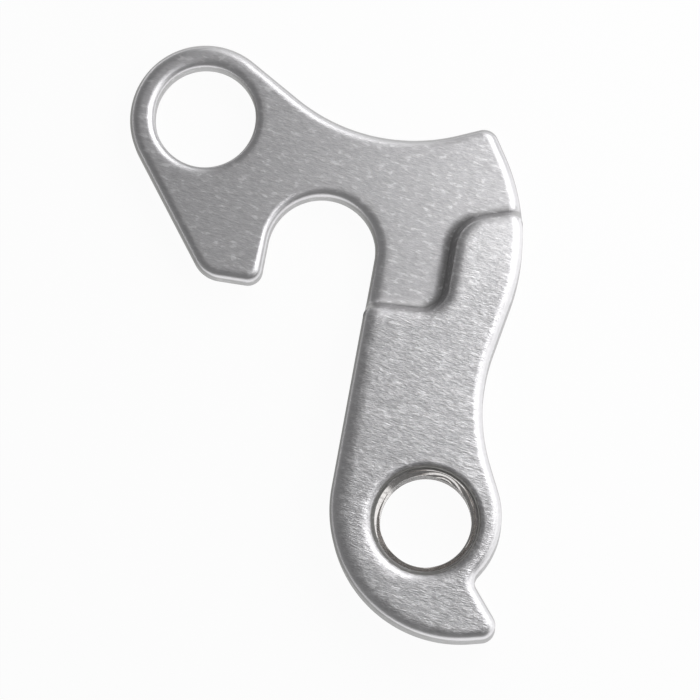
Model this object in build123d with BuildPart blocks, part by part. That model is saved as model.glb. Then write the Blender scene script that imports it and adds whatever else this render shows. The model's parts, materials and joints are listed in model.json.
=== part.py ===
from build123d import *
from collections import namedtuple
from math import asin, atan2, cos, degrees, hypot, radians, sin, sqrt
import os

# Bicycle derailleur hanger, one forged aluminium piece.
# The thin upper plate lies against the frame's dropout and is bolted through its eye, the open slot
# takes the wheel axle, and the thick lower arm carries the derailleur on a threaded hole. A claw at
# the arm's foot stops the derailleur's adjusting screw.
# The piece lies on its flat outer face. The origin is on the wheel axle's axis, in that face.
# +Z points to the wheel, +Y up the arm and +X to the rear of the bicycle. Sizes are in millimetres,
# directions in degrees anticlockwise from +X.

# Thickness of the plate, and how far the arm's face stands above the plate's
PLATE_THICKNESS = 4.0
STEP_HEIGHT = 3.0

# Edges: rounded by forging on the wheel side, as the mouths of the holes are there, and chamfered on
# the machined outer side
EDGE_ROUND = 1.2
MOUTH_ROUND = 0.85
BACK_CHAMFER = 0.6

# Slot that takes the wheel axle
AXLE_SLOT_WIDTH = 10.7

# Fixing hole's centre from the axle, and the eye of metal round it, set a little lower than the hole
FIXING_HOLE_LEAD = 11.45
FIXING_HOLE_RISE = 13.35
FIXING_HOLE_DIAMETER = 10.0
EYE_WALL = 2.45
EYE_DROP = 0.25

# Prong in front of the slot: the slot's straight front wall, the prong's lower end and its corners
SLOT_WALL_RUN = 3.0
TOE_DIRECTION = -167.3
TOE_FACE_RADIUS = 0.3
PRONG_END_RUN = 2.7
HEEL_DIRECTION = 139.5
HEEL_RADIUS = 3.15

# Derailleur thread's axis from the axle, and the thread itself
DERAILLEUR_SETBACK = 10.3
DERAILLEUR_DROP = 26.95
THREAD_DIAMETER = 10.0
THREAD_PITCH = 1.0
THREAD_MOUTH_DIAMETER = 10.4

# Foot of the arm, from the thread's axis: the belly in front and below, and the boss behind
BELLY_X = 3.4
BELLY_Y = 1.0
BELLY_RADIUS = 12.8
BOSS_X = -0.6
BOSS_Y = 0.5
BOSS_RADIUS = 8.05

# Claw at the end of the belly, and the notch between claw and boss
CLAW_DIRECTION = -80.2
CLAW_FACE_RADIUS = 0.25
CLAW_RUN = 1.1
NOTCH_DIRECTION = -44.6
NOTCH_RADIUS = 1.25
NOTCH_RUN = 0.45

# Rear edge: a bulge round the axle, and a waist that bridges boss and bulge
BULGE_X = -0.3
BULGE_Y = 1.35
BULGE_RADIUS = 20.2
WAIST_RADIUS = 18.2
WAIST_LOWER_RUN = 2.6
WAIST_UPPER_RUN = 4.9

# Upper edge: the rear corner at the bulge's end, and a saddle that bridges corner and eye
REAR_CORNER_DIRECTION = 29.3
REAR_CORNER_FACE_RADIUS = 0.3
REAR_CORNER_RUN = 1.95
SADDLE_RADIUS = 18.2
SADDLE_REAR_RUN = 2.2
SADDLE_EYE_RUN = 5.7

# Step between plate and arm: its two corners from the axle, the slopes of its ends and its rounds
STEP_TOE_X = 11.6
STEP_TOE_Y = -5.9
STEP_TOE_RADIUS = 2.0
STEP_TOE_SLOPE = -6.4
STEP_HEEL_X = 13.1
STEP_HEEL_Y = 3.05
STEP_HEEL_RADIUS = 3.8
STEP_HEEL_SLOPE = 8.4
STEP_FOOT_ROUND = 0.8
STEP_CREST_EXTRA = 0.1

ARM_THICKNESS = PLATE_THICKNESS + STEP_HEIGHT

fixing_centre = Vector(-FIXING_HOLE_LEAD, FIXING_HOLE_RISE)
thread_centre = Vector(DERAILLEUR_SETBACK, -DERAILLEUR_DROP)

# The outline is a belt round circles, run anticlockwise. It bends round the outside of some and into
# the hollow of others, and a straight run touches each circle and the next. A small corner is larger
# than the rounded edge that goes round it by the radius that is left on the face.
Round = namedtuple("Round", "x y radius turn")
OUTSIDE = 1
HOLLOW = -1


def spacing(first, radius, turn, run):
    """Distance between the centres of two rounds that have a straight run of this length between them."""
    return hypot(turn * radius - first.turn * first.radius, run)


def beside(first, direction, radius, turn, run):
    """Round that lies in the given direction from another one, after a straight run."""
    distance = spacing(first, radius, turn, run)
    x = first.x + distance * cos(radians(direction))
    y = first.y + distance * sin(radians(direction))
    return Round(x, y, radius, turn)


def bridge(first, first_run, second, second_run, radius):
    """Hollow that bridges two rounds, on the right of the way from the first to the second."""
    first_reach = spacing(first, radius, HOLLOW, first_run)
    second_reach = spacing(second, radius, HOLLOW, second_run)
    east = second.x - first.x
    north = second.y - first.y
    span = hypot(east, north)
    along = (first_reach**2 - second_reach**2 + span**2) / (2 * span)
    aside = sqrt(first_reach**2 - along**2)
    x = first.x + (along * east + aside * north) / span
    y = first.y + (along * north - aside * east) / span
    return Round(x, y, radius, HOLLOW)


def run_heading(first, second):
    """Direction of the straight run that leaves one round and touches the next."""
    east = second.x - first.x
    north = second.y - first.y
    drift = second.turn * second.radius - first.turn * first.radius
    return degrees(atan2(north, east) - asin(drift / hypot(east, north)))


def draw_belt(rounds):
    """Arc of each round that the belt touches, and the straight run from each arc to the next."""
    headings = [run_heading(first, second) for first, second in zip(rounds, rounds[1:] + rounds[:1])]
    arcs = []
    for index, spot in enumerate(rounds):
        arrive = headings[index - 1]
        sweep = spot.turn * ((spot.turn * (headings[index] - arrive)) % 360)
        arcs.append(CenterArc((spot.x, spot.y), spot.radius, arrive - spot.turn * 90, sweep))
    for arc, next_arc in zip(arcs, arcs[1:] + arcs[:1]):
        Line(arc @ 1, next_arc @ 0)


def draw_hole_section(wall, thickness):
    """Half section of a hole: its wall, given from the back up, and a rounded mouth at the front."""
    Polyline(*wall)
    mouth = JernArc(wall[-1], (0, 1), MOUTH_ROUND, -90)
    Polyline(mouth @ 1, (0, thickness), (0, 0), wall[0])


eye_radius = FIXING_HOLE_DIAMETER / 2 + EYE_WALL
eye = Round(fixing_centre.X, fixing_centre.Y - EYE_DROP, eye_radius, OUTSIDE)
slot = Round(0, 0, AXLE_SLOT_WIDTH / 2, HOLLOW)
toe = beside(slot, TOE_DIRECTION, EDGE_ROUND + TOE_FACE_RADIUS, OUTSIDE, SLOT_WALL_RUN)
heel = beside(toe, HEEL_DIRECTION, HEEL_RADIUS, OUTSIDE, PRONG_END_RUN)
belly = Round(thread_centre.X + BELLY_X, thread_centre.Y + BELLY_Y, BELLY_RADIUS, OUTSIDE)
claw = beside(belly, CLAW_DIRECTION, EDGE_ROUND + CLAW_FACE_RADIUS, OUTSIDE, CLAW_RUN)
boss = Round(thread_centre.X + BOSS_X, thread_centre.Y + BOSS_Y, BOSS_RADIUS, OUTSIDE)
notch = beside(boss, NOTCH_DIRECTION, NOTCH_RADIUS, HOLLOW, NOTCH_RUN)
bulge = Round(BULGE_X, BULGE_Y, BULGE_RADIUS, OUTSIDE)
waist = bridge(boss, WAIST_LOWER_RUN, bulge, WAIST_UPPER_RUN, WAIST_RADIUS)
rear_corner_radius = EDGE_ROUND + REAR_CORNER_FACE_RADIUS
rear_corner = beside(bulge, REAR_CORNER_DIRECTION, rear_corner_radius, OUTSIDE, REAR_CORNER_RUN)
saddle = bridge(rear_corner, SADDLE_REAR_RUN, eye, SADDLE_EYE_RUN, SADDLE_RADIUS)
belt = [eye, heel, toe, slot, belly, claw, notch, boss, waist, bulge, rear_corner, saddle]

# Walls of the two holes, as radius and height from the back up: the derailleur hole is at the thread's
# core, and a cone leads into it from each side
fixing_radius = FIXING_HOLE_DIAMETER / 2
fixing_wall = [
    (fixing_radius + BACK_CHAMFER, 0),
    (fixing_radius, BACK_CHAMFER),
    (fixing_radius, PLATE_THICKNESS - MOUTH_ROUND),
]
core_radius = (THREAD_DIAMETER - THREAD_PITCH) / 2
mouth_radius = THREAD_MOUTH_DIAMETER / 2
lead_in = mouth_radius - core_radius
thread_wall = [
    (mouth_radius, 0),
    (core_radius, lead_in),
    (core_radius, ARM_THICKNESS - MOUTH_ROUND - lead_in),
    (mouth_radius, ARM_THICKNESS - MOUTH_ROUND),
]

with BuildPart() as hanger:
    # Whole outline at the arm's thickness
    with BuildSketch() as outline:
        with BuildLine():
            draw_belt(belt)
        make_face()
    extrude(amount=ARM_THICKNESS)

    # Seat for the dropout: cut lower than the arm, up to the step, whose line runs past the outline
    overrun = outline.sketch.bounding_box().diagonal
    step_toe = Vector(STEP_TOE_X, STEP_TOE_Y)
    step_heel = Vector(STEP_HEEL_X, STEP_HEEL_Y)
    step_start = step_toe + Vector(-overrun, 0).rotate(Axis.Z, STEP_TOE_SLOPE)
    step_end = step_heel + Vector(overrun, 0).rotate(Axis.Z, STEP_HEEL_SLOPE)
    with BuildSketch(Plane.XY.offset(PLATE_THICKNESS)):
        with BuildLine():
            step_radii = [STEP_TOE_RADIUS, STEP_HEEL_RADIUS]
            FilletPolyline(step_start, step_toe, step_heel, step_end, radius=step_radii)
            Polyline(step_end, (step_end.X, overrun), (step_start.X, overrun), step_start)
        make_face()
    extrude(amount=STEP_HEIGHT, mode=Mode.SUBTRACT)

    # Step rounded at its foot and its crest: of the upright faces, its walls start highest
    upright = hanger.faces().filter_by(Axis.Z, reverse=True)
    step_walls = upright.group_by(lambda face: face.bounding_box().min.Z)[-1]
    fillet(step_walls.edges().group_by(Axis.Z)[0], STEP_FOOT_ROUND)
    upright = hanger.faces().filter_by(Axis.Z, reverse=True)
    step_walls = upright.group_by(lambda face: face.bounding_box().min.Z)[-1]
    fillet(step_walls.edges().group_by(Axis.Z)[-1], EDGE_ROUND + STEP_CREST_EXTRA)

    # Outline's edges: on the wheel side the round climbs the step with the face
    upright = hanger.faces().filter_by(Axis.Z, reverse=True)
    outline_walls = upright.group_by(lambda face: face.bounding_box().min.Z)[0]
    back_edges = hanger.edges().group_by(Axis.Z)[0]
    fillet(outline_walls.edges().filter_by(Axis.Z, reverse=True) - back_edges, EDGE_ROUND)
    chamfer(hanger.edges().group_by(Axis.Z)[0], BACK_CHAMFER)

    # Fixing hole through the plate and derailleur hole through the arm, each turned about its axis
    holes = [(fixing_centre, fixing_wall, PLATE_THICKNESS), (thread_centre, thread_wall, ARM_THICKNESS)]
    for centre, wall, thickness in holes:
        with BuildSketch(Plane(centre, x_dir=(1, 0, 0), z_dir=(0, -1, 0))):
            with BuildLine():
                draw_hole_section(wall, thickness)
            make_face()
        revolve(axis=Axis(centre, (0, 0, 1)), mode=Mode.SUBTRACT)

hanger.part.label = "hanger"
os.makedirs("parts", exist_ok=True)
export_step(hanger.part, "parts/hanger.step")
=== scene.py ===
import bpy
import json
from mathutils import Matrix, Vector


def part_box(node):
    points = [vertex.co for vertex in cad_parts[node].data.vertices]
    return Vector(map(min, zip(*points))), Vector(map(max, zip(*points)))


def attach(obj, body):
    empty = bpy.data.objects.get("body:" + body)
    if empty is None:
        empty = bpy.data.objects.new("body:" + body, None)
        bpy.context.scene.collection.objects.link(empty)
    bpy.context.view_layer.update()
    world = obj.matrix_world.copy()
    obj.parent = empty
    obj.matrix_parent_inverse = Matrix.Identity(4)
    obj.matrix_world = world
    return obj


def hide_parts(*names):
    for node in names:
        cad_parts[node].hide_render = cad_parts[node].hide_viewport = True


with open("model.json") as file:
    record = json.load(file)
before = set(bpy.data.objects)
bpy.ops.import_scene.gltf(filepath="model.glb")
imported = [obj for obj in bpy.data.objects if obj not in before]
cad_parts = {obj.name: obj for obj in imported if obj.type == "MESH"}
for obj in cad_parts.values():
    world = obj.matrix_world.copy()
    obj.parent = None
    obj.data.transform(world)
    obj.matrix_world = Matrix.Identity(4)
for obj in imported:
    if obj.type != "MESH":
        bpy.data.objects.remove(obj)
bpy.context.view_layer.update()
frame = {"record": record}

import json
from collections import namedtuple
from math import asin, atan2, cos, hypot, pi, radians, sin, sqrt, tan

import bpy
import numpy as np
from bpy.props import FloatProperty, FloatVectorProperty, PointerProperty
from bpy.types import Operator, Panel, PropertyGroup
from mathutils import Euler, Vector
from mathutils.geometry import delaunay_2d_cdt

bl_info = {
    "name": "Derailleur hanger",
    "version": (1, 0, 0),
    "blender": (4, 5, 0),
    "location": "3D View > Sidebar > Hanger",
    "description": "Forged aluminium bicycle derailleur hanger with a cut thread, and a stage for it",
    "category": "Add Mesh",
}

# The part lies on its flat outer face. The origin is on the wheel axle's axis in that face, +Z points
# to the wheel, +Y up the arm and +X to the rear of the bicycle. The lengths named here are in millimetres
# and the directions and slopes in degrees, unless said otherwise, and the mesh is in metres.
MM = 0.001

# Centres and radii of the two holes, and heights of the two faces in metres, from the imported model
mounts = {mount["name"]: mount for mount in frame["record"]["mounts"]}
FIXING_CENTRE = np.array(mounts["fixing_hole"]["pos_m"][:2]) / MM
FIXING_RADIUS = mounts["fixing_hole"]["dims"]["r_mm"]
THREAD_CENTRE = np.array(mounts["derailleur_thread"]["pos_m"][:2]) / MM
CORE_RADIUS = mounts["derailleur_thread"]["dims"]["r_mm"]
PLATE_THICKNESS = mounts["seat_face"]["pos_m"][2]
ARM_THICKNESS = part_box("hanger")[1].z

# Slot that takes the wheel axle, and the eye of metal round the fixing hole, set a little lower than it
SLOT_RADIUS = 5.35
EYE_WALL = 2.45
EYE_DROP = 0.25

# Prong in front of the slot: the slot's straight front wall, the prong's lower end and its corners
SLOT_WALL_RUN = 3.0
TOE_DIRECTION = -167.3
TOE_FACE_RADIUS = 0.3
PRONG_END_RUN = 2.7
HEEL_DIRECTION = 139.5
HEEL_RADIUS = 3.15

# Foot of the arm, from the thread's axis: the belly in front and below, and the boss behind
BELLY_X = 3.4
BELLY_Y = 1.0
BELLY_RADIUS = 12.8
BOSS_X = -0.6
BOSS_Y = 0.5
BOSS_RADIUS = 8.05

# Claw at the end of the belly, and the notch between claw and boss
CLAW_DIRECTION = -80.2
CLAW_FACE_RADIUS = 0.25
CLAW_RUN = 1.1
NOTCH_DIRECTION = -44.6
NOTCH_RADIUS = 1.25
NOTCH_RUN = 0.45

# Rear edge: a bulge round the axle, and a waist that bridges boss and bulge
BULGE_X = -0.3
BULGE_Y = 1.35
BULGE_RADIUS = 20.2
WAIST_RADIUS = 18.2
WAIST_LOWER_RUN = 2.6
WAIST_UPPER_RUN = 4.9

# Upper edge: the rear corner at the bulge's end, and a saddle that bridges corner and eye
REAR_CORNER_DIRECTION = 29.3
REAR_CORNER_FACE_RADIUS = 0.3
REAR_CORNER_RUN = 1.95
SADDLE_RADIUS = 18.2
SADDLE_REAR_RUN = 2.2
SADDLE_EYE_RUN = 5.7

# Step between plate and arm: its two corners from the axle, their radii, and the slopes of its ends
STEP_TOE = (11.6, -5.9)
STEP_TOE_RADIUS = 2.0
STEP_TOE_SLOPE = -6.4
STEP_HEEL = (13.1, 3.05)
STEP_HEEL_RADIUS = 3.8
STEP_HEEL_SLOPE = 8.4

# Section of the step: its steepest slope, the power by which its bends grow to that, and how far the
# wall's middle lies from the step's line towards the arm. The line's end runs, which go well past both
# edges, are as long as the overrun.
STEP_STEEPEST = 75.0
STEP_EASE = 3
STEP_SHIFT = 0.42
STEP_OVERRUN = 60.0

# Soft edges: the order of their curve, and how far it reaches over the face from a wall, in general, in
# the slot, round the belly and at the hole mouths
EDGE_ORDER = 2.5
EDGE_REACH = 1.1
SLOT_REACH = 0.8
BELLY_REACH = 2.4
MOUTH_REACH = 1.02

# Mouths of the derailleur thread: how far their cones start outside the core, the direction in which the
# upper one's soft edge reaches furthest, and how much further than the mean
MOUTH_LEAD = 0.7
LEAD_RADIUS = CORE_RADIUS + MOUTH_LEAD
MOUTH_WIDEST = 235.0
MOUTH_UNEVEN = 0.45

# Derailleur thread: the column of the holes at which it starts, how much the upper cone is drawn out there
# and how narrowly, and its form as places along the pitch and shares of the depth, with a flat crest at
# the core and a narrower flat root
START_COLUMN = 26
START_DRAWN = 0.8
START_FOCUS = 6
THREAD_FORM_PLACES = (0.0, 0.25, 0.5625, 0.6875, 1.0)
THREAD_FORM_DEPTHS = (0.0, 0.0, 1.0, 1.0, 0.0)

# How finely the surfaces are divided: the distance between points, the turn between points of an arc in
# radians, rows and columns of the grids, and the reach of the bend that softens a corner
RUN_SPACING = 0.25
ARC_STEP = radians(4)
FACE_SPACING = 0.35
RIM_ROWS = 20
STEP_ROWS = 15
STEP_COLUMNS = 180
HOLE_COLUMNS = 144
MOUTH_ROWS = 14
THREAD_ROWS = 16
CORNER_ROWS = 5
CORNER_REACH = 0.08

# Where the edge climbs the step: the least gap between the step's own columns and the others, and the
# least distance across the step from one of its own to the next
COLUMN_GAP = RUN_SPACING / 3
LEAST_SWING = 0.01

# How exactly things are worked out: the number of places at which the belt is searched, the distance within
# which points become one, how far past its ends a leg still counts, and the angle in radians from which an
# edge of the mesh is sharp
FINE_PLACES = 40000
WELD = 1e-4
LEG_OVERLAP = 1e-6
SHARP_ANGLE = radians(35)

# What the Delaunay routine gives back: the triangles inside the lines
INSIDE_LINES = 1

# Kinds of surface: forged skin, cut thread, mouth of the thread, and step
SKIN = 0
CUT = 1
MOUTH = 2
STEP = 3

# Attribute of painted shade on steep places of the skin, which darkens their colour towards the wall
# colour: the cosines of the slope at which it starts and is full, and how much earlier it starts where
# the skin faces the front or the top and in the thread's mouth. In the step's foot it also grows with the
# sine of the slope, and is full at this one. What lies on the step, and what faces elsewhere than the
# front outside the thread's mouth, has only a share of it.
PAINTED_SHADE = "steep"
STEEP_START = 0.28
STEEP_FULL = 0.04
EARLY_FRONT = 0.74
EARLY_TOP = 0.78
EARLY_MOUTH = 0.5
FOOT_FULL = 0.4
STEEP_ELSEWHERE = 0.55
STEEP_STEP = 0.65

# Attribute for rounded edges, where tumbling takes the wrinkles off: the cosines of the slope at which it
# starts, is full and fades again towards a wall, and the shares of wrinkles and of burnished shine where it
# is full. The step and the thread's mouth keep their wrinkles.
ROUNDED = "rounded"
ROUNDED_START = 0.985
ROUNDED_FULL = 0.86
ROUNDED_FADES = 0.35
WRINKLES_LEFT = 0.2
ROUNDED_SHINE = 0.5

# Noises of the metal: cells of one unit, which the Mapping nodes size, their mean, their roughness on the
# skin, and the detail of the skin's wrinkles and of the patches that its flecks and slow swell come from
NOISE_SCALE = 1.0
NOISE_MEAN = 0.5
NOISE_ROUGHNESS = 0.6
WRINKLE_DETAIL = 3.0
PATCH_DETAIL = 2.0

# Wear of the skin: the reach either side of the mean from dull valley to burnished crest, the crest's
# shine, the swell as a share of the wrinkles, the levels over the mean at which a fleck starts and is full,
# its shine, and the share of it that shows through on dark walls
WORN_REACH = 0.12
WORN_SHINE = 0.55
SWELL_SHARE = 0.8
RUB_START = 0.085
RUB_FULL = 0.16
RUB_SHINE = 0.42
RUB_THROUGH = 0.4

# Places up the arm, in metres, between which its wrinkles fade and a painted highlight, which lightens the
# arm's top, grows to this share
FADE_START = -7 * MM
FADE_END = 2 * MM
PAINTED_TOP_LIGHT = 0.35

# Noise of the tap's chatter marks: its detail, and the level at which a mark is full
CHATTER_DETAIL = 2.0
CHATTER_FULL = 0.62

# Sockets of a Mix node of colours, and the fourth value of a colour
MIX_SHARE = 0
MIX_FIRST = 6
MIX_SECOND = 7
MIX_RESULT = 2
OPAQUE = 1.0

# Soft lights of the stage: places, targets and sides in metres, and radiance
Softbox = namedtuple("Softbox", "name place target width depth radiance")
SOFTBOXES = (
    Softbox("key_above_right", (0.079, 0.059, 0.13), (0.039, 0.059, 0.0), 0.18, 0.10, 2.45),
    Softbox("flank_right", (0.15, -0.015, 0.06), (0.0, -0.015, 0.0), 0.20, 0.10, 1.03),
    Softbox("fill_rear_top", (0.065, 0.16, 0.09), (0.0, 0.0, 0.0), 0.18, 0.12, 0.72),
)

# Camera: the point that it aims at, its sensor's width, and the distance in metres at which its view starts
CAMERA_AIM = (2.87, -9.81, 2.92)
SENSOR_WIDTH = 36.0
CLIP_START = 0.01

# Circle that the outline goes round, on its outside or in its hollow, and the reach of the soft edge there
Round = namedtuple("Round", "x y radius turn reach", defaults=[EDGE_REACH])
OUTSIDE = 1
HOLLOW = -1

# Straight run or arc from a point, with its heading there, its bend and its length
Leg = namedtuple("Leg", "x y heading bend length")

# What the surfaces are worked out from: sizes in millimetres, the outline, the step and its section
Plan = namedtuple("Plan", "plate arm edge mouth chamfer pitch rounds belt step across rise slope")

# Columns of the edge: the places on the belt where they leave the face and where their wall is, the heights
# and slopes of the face there, and the four stretches that they lie on
Columns = namedtuple("Columns", "face wall height slope on_plate on_left on_arm on_right")


def linear_colour(text):
    """Turns a colour written as sRGB hex digits to the linear values that Blender's sockets take.

    As the sRGB standard says, a dark share is divided by 12.92, and a lighter one goes by a power of 2.4.
    """
    shares = np.array([int(text[place:place + 2], 16) for place in (0, 2, 4)]) / 255
    linear = np.where(shares <= 0.04045, shares / 12.92, ((shares + 0.055) / 1.055) ** 2.4)
    return linear.tolist()


def spacing(first, radius, turn, run):
    """Distance between the centres of two rounds that have a straight run of this length between them."""
    return hypot(turn * radius - first.turn * first.radius, run)


def beside(first, direction, radius, turn, run):
    """Round that lies in the given direction, in degrees, from another one, after a straight run."""
    distance = spacing(first, radius, turn, run)
    x = first.x + distance * cos(radians(direction))
    y = first.y + distance * sin(radians(direction))
    return Round(x, y, radius, turn)


def bridge(first, first_run, second, second_run, radius):
    """Hollow that bridges two rounds: the corner, on the right, of a triangle on their two centres."""
    first_reach = spacing(first, radius, HOLLOW, first_run)
    second_reach = spacing(second, radius, HOLLOW, second_run)
    east = second.x - first.x
    north = second.y - first.y
    span = hypot(east, north)
    along = (first_reach**2 - second_reach**2 + span**2) / (2 * span)
    aside = sqrt(first_reach**2 - along**2)
    x = first.x + (along * east + aside * north) / span
    y = first.y + (along * north - aside * east) / span
    return Round(x, y, radius, HOLLOW)


def outline_rounds(edge_round):
    """Rounds that the outline bends round, anticlockwise from the eye."""
    eye = Round(FIXING_CENTRE[0], FIXING_CENTRE[1] - EYE_DROP, FIXING_RADIUS + EYE_WALL, OUTSIDE)
    slot = Round(0.0, 0.0, SLOT_RADIUS, HOLLOW, SLOT_REACH)
    toe = beside(slot, TOE_DIRECTION, edge_round + TOE_FACE_RADIUS, OUTSIDE, SLOT_WALL_RUN)
    heel = beside(toe, HEEL_DIRECTION, HEEL_RADIUS, OUTSIDE, PRONG_END_RUN)
    belly_x, belly_y = THREAD_CENTRE + (BELLY_X, BELLY_Y)
    belly = Round(belly_x, belly_y, BELLY_RADIUS, OUTSIDE, BELLY_REACH)
    claw = beside(belly, CLAW_DIRECTION, edge_round + CLAW_FACE_RADIUS, OUTSIDE, CLAW_RUN)
    boss_x, boss_y = THREAD_CENTRE + (BOSS_X, BOSS_Y)
    boss = Round(boss_x, boss_y, BOSS_RADIUS, OUTSIDE)
    notch = beside(boss, NOTCH_DIRECTION, NOTCH_RADIUS, HOLLOW, NOTCH_RUN)
    bulge = Round(BULGE_X, BULGE_Y, BULGE_RADIUS, OUTSIDE)
    waist = bridge(boss, WAIST_LOWER_RUN, bulge, WAIST_UPPER_RUN, WAIST_RADIUS)
    corner_radius = edge_round + REAR_CORNER_FACE_RADIUS
    rear_corner = beside(bulge, REAR_CORNER_DIRECTION, corner_radius, OUTSIDE, REAR_CORNER_RUN)
    saddle = bridge(rear_corner, SADDLE_REAR_RUN, eye, SADDLE_EYE_RUN, SADDLE_RADIUS)
    return [eye, heel, toe, slot, belly, claw, notch, boss, waist, bulge, rear_corner, saddle]


def belt_legs(rounds):
    """Legs of a closed belt round circles: an arc on each circle, then the straight run to the next.

    A run leans from the line of the two centres by the angle whose sine is the difference of the signed
    radii over the distance of the centres. An arc starts and ends a signed radius to the right of the
    centre, square to the runs that it joins.
    """
    headings = []
    runs = []
    for first, second in zip(rounds, rounds[1:] + rounds[:1]):
        east = second.x - first.x
        north = second.y - first.y
        span = hypot(east, north)
        drift = second.turn * second.radius - first.turn * first.radius
        headings.append(atan2(north, east) - asin(drift / span))
        runs.append(sqrt(span**2 - drift**2))
    legs = []
    for index, spot in enumerate(rounds):
        arrive = headings[index - 1]
        leave = headings[index]
        reach = spot.turn * spot.radius
        turned = (spot.turn * (leave - arrive)) % (2 * pi)
        x = spot.x + reach * sin(arrive)
        y = spot.y - reach * cos(arrive)
        legs.append(Leg(x, y, arrive, 1 / reach, spot.radius * turned))
        x = spot.x + reach * sin(leave)
        y = spot.y - reach * cos(leave)
        legs.append(Leg(x, y, leave, 0.0, runs[index]))
    return legs


def step_legs():
    """Legs of the step's line from left to right: three straight runs joined by two rounded corners.

    A corner of radius R that turns by an angle starts and ends R times the tangent of half of it away.
    """
    toe = np.array(STEP_TOE)
    heel = np.array(STEP_HEEL)
    enter = radians(STEP_TOE_SLOPE)
    climb = atan2(heel[1] - toe[1], heel[0] - toe[0])
    leave = radians(STEP_HEEL_SLOPE)
    toe_cut = STEP_TOE_RADIUS * tan((climb - enter) / 2)
    heel_cut = STEP_HEEL_RADIUS * tan((climb - leave) / 2)
    ahead = np.array([[cos(heading), sin(heading)] for heading in (enter, climb, leave)])
    toe_start = toe - toe_cut * ahead[0]
    start = toe_start - STEP_OVERRUN * ahead[0]
    climb_start = toe + toe_cut * ahead[1]
    heel_start = heel - heel_cut * ahead[1]
    leave_start = heel + heel_cut * ahead[2]
    climb_length = np.linalg.norm(heel_start - climb_start)
    return [
        Leg(*start, enter, 0.0, STEP_OVERRUN),
        Leg(*toe_start, enter, 1 / STEP_TOE_RADIUS, STEP_TOE_RADIUS * (climb - enter)),
        Leg(*climb_start, climb, 0.0, climb_length),
        Leg(*heel_start, climb, -1 / STEP_HEEL_RADIUS, STEP_HEEL_RADIUS * (climb - leave)),
        Leg(*leave_start, leave, 0.0, STEP_OVERRUN),
    ]


def follow(legs, places):
    """Points and headings at given distances along a chain of legs.

    On a leg of bend k the heading turns by k s over a distance s, and the chord is s times the sine of
    half that turn over half that turn, along the mean heading. A straight leg has a bend of 0.
    """
    x, y, heading, bend, length = np.array(legs).T
    ends = np.cumsum(length)
    which = np.minimum(np.searchsorted(ends, places, side="right"), len(legs) - 1)
    run = places - (ends - length)[which]
    turned = bend[which] * run
    chord = run * np.sinc(turned / (2 * pi))
    mean = heading[which] + turned / 2
    points = np.stack([x[which] + chord * np.cos(mean), y[which] + chord * np.sin(mean)], axis=-1)
    return points, heading[which] + turned


def to_right(headings):
    """Unit vectors to the right of given headings."""
    return np.stack([np.sin(headings), -np.cos(headings)], axis=-1)


def beside_line(legs, places, aside):
    """Points at given distances along a chain of legs and to the right of it."""
    points, headings = follow(legs, places)
    return points + np.asarray(aside)[..., None] * to_right(headings)


def sampled_places(legs):
    """Distances along a chain of legs at which it is sampled, closer where a leg bends more."""
    length = np.array([leg.length for leg in legs])
    bend = np.array([leg.bend for leg in legs])
    count = np.ceil(np.maximum(length / RUN_SPACING, length * np.abs(bend) / ARC_STEP)).astype(int)
    step = np.arange(count.sum()) - np.repeat(np.cumsum(count) - count, count)
    return np.repeat(np.cumsum(length) - length, count) + np.repeat(length / count, count) * step


def places_across(belt, inset, end, outward, distances):
    """Places on the belt whose inset points lie at given distances to the right of an end of the step.

    An end of the step is straight, so the distance to its right is a plain function along the belt. It
    is worked out at closely spaced places near where the belt meets the end, and read backwards.
    """
    length = sum(leg.length for leg in belt)
    places = np.linspace(0, length, FINE_PLACES, endpoint=False)
    corner = np.array([end.x, end.y]) if outward > 0 else follow([end], np.array([end.length]))[0][0]
    offset = beside_line(belt, places, np.full(FINE_PLACES, -inset)) - corner
    aside = offset @ to_right(end.heading)
    ahead = outward * (offset @ np.array([cos(end.heading), sin(end.heading)]))
    margin = np.ptp(distances)
    near = (ahead > 0) & (aside > np.min(distances) - margin) & (aside < np.max(distances) + margin)
    near &= ahead < ahead[near].min() + margin
    order = np.argsort(aside[near])
    return np.interp(distances, aside[near][order], places[near][order])


def nearest_on(legs, points):
    """Distances of points to the left of a chain of legs, and the places on it that they are nearest to.

    In a leg's own frame, from its start along its heading, a straight leg is an axis and a bent one is
    a circle that touches that axis. The leg that lies nearest beside the point counts.
    """
    x, y, heading, bend, length = (column[:, None] for column in np.array(legs).T)
    start = np.cumsum(length) - length[:, 0]
    east = points[:, 0] - x
    north = points[:, 1] - y
    ahead = east * np.cos(heading) + north * np.sin(heading)
    aside = north * np.cos(heading) - east * np.sin(heading)
    side = np.sign(bend)
    radius = 1 / np.where(side == 0, 1.0, bend)
    turned = np.arctan2(ahead, side * (radius - aside)) % (2 * pi)
    bent_aside = side * (np.abs(radius) - np.hypot(ahead, radius - aside))
    left = np.where(side == 0, aside, bent_aside)
    run = np.where(side == 0, ahead, turned * np.abs(radius))
    besides = (run > -LEG_OVERLAP) & (run < length + LEG_OVERLAP)
    which = np.argmin(np.where(besides, np.abs(left), np.inf), axis=0)
    index = np.arange(len(points))
    return left[which, index], start[which] + run[which, index]


def edge_reach(rounds, belt, places):
    """Reach of the soft edge along the belt: a round's own where its arc starts, and blended in between."""
    length = np.array([leg.length for leg in belt])
    starts = (np.cumsum(length) - length)[::2]
    return np.interp(places, starts, [spot.reach for spot in rounds], period=length.sum())


def soft_drop(inset, reach, depth):
    """Drop of a soft edge below its face at an inset from the wall.

    The shares of the reach and of the depth that are left, each raised to the order, add up to one. So
    the curve leaves the face gently, bends most at the corner and ends along the wall.
    """
    left = np.clip(1 - inset / reach, 0, 1)
    return depth * (1 - (1 - left**EDGE_ORDER) ** (1 / EDGE_ORDER))


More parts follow.
